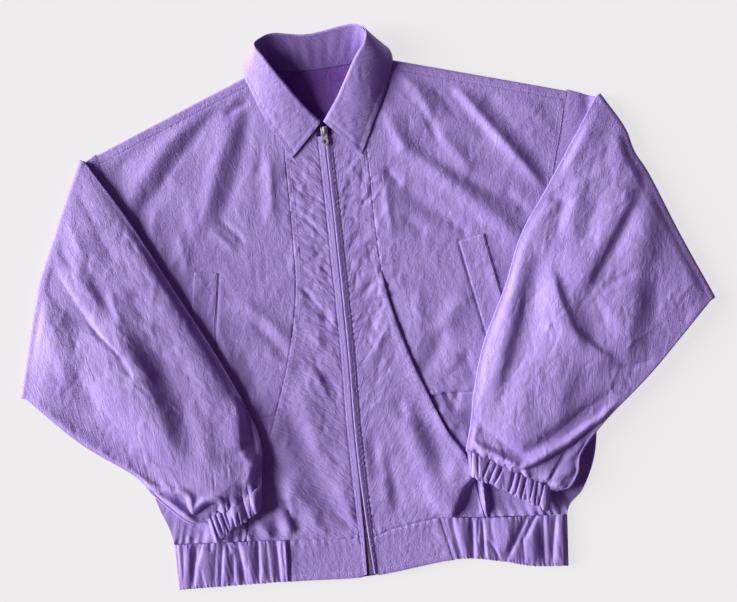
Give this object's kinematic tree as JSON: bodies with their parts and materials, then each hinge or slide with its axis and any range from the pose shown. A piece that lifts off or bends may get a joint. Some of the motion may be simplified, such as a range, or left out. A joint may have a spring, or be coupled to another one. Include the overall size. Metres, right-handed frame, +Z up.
{
  "type": "nylon zip jacket, laid flat",
  "caption": "Crinkled nylon zip blouson laid on its back, sleeves folded over the front, pointed collar, gathered waistband and cuffs.",
  "frame": {"origin": "on the surface the jacket lies on, under the middle of its outline", "axes": "+Z up from the surface, +Y along the zip towards the collar, +X towards the wearer's left sleeve"},
  "size_m": [0.8426, 0.6734, 0.0316],
  "materials": {
    "nylon": "washed crinkled nylon, lavender, slight sheen",
    "zip_tape": "woven tape, muted violet",
    "zip_metal": "silver, worn satin"
  },
  "bodies": {
    "jacket": {"back_panel": "nylon", "front_side_right": "nylon", "front_side_left": "nylon", "front_lower_right": "nylon", "front_lower_left": "nylon", "front_centre_right": "nylon", "front_centre_left": "nylon", "pocket_welt_right": "nylon", "pocket_welt_left": "nylon", "front_edge_right": "nylon", "front_edge_left": "nylon", "sleeve_right": "nylon", "sleeve_left": "nylon", "cuff_right": "nylon", "cuff_left": "nylon", "collar_stand": "nylon", "collar_fall": "nylon", "waist_tab_right": "nylon", "waist_tab_left": "nylon", "waistband_elastic": "nylon", "zip_tape_right": "zip_tape", "zip_tape_left": "zip_tape", "zip_chain": "zip_metal", "zip_stop": "zip_metal", "zip_slider": "zip_metal"},
    "pull": {"zip_pull": "zip_metal"}
  },
  "joints": [
    {"name": "pull_swing", "type": "hinge", "parent": "jacket", "child": "pull", "pos_m": [-0.02453, 0.21775, 0.0087], "axis": [-1, 0, 0], "range_deg": [0, 115]}
  ]
}
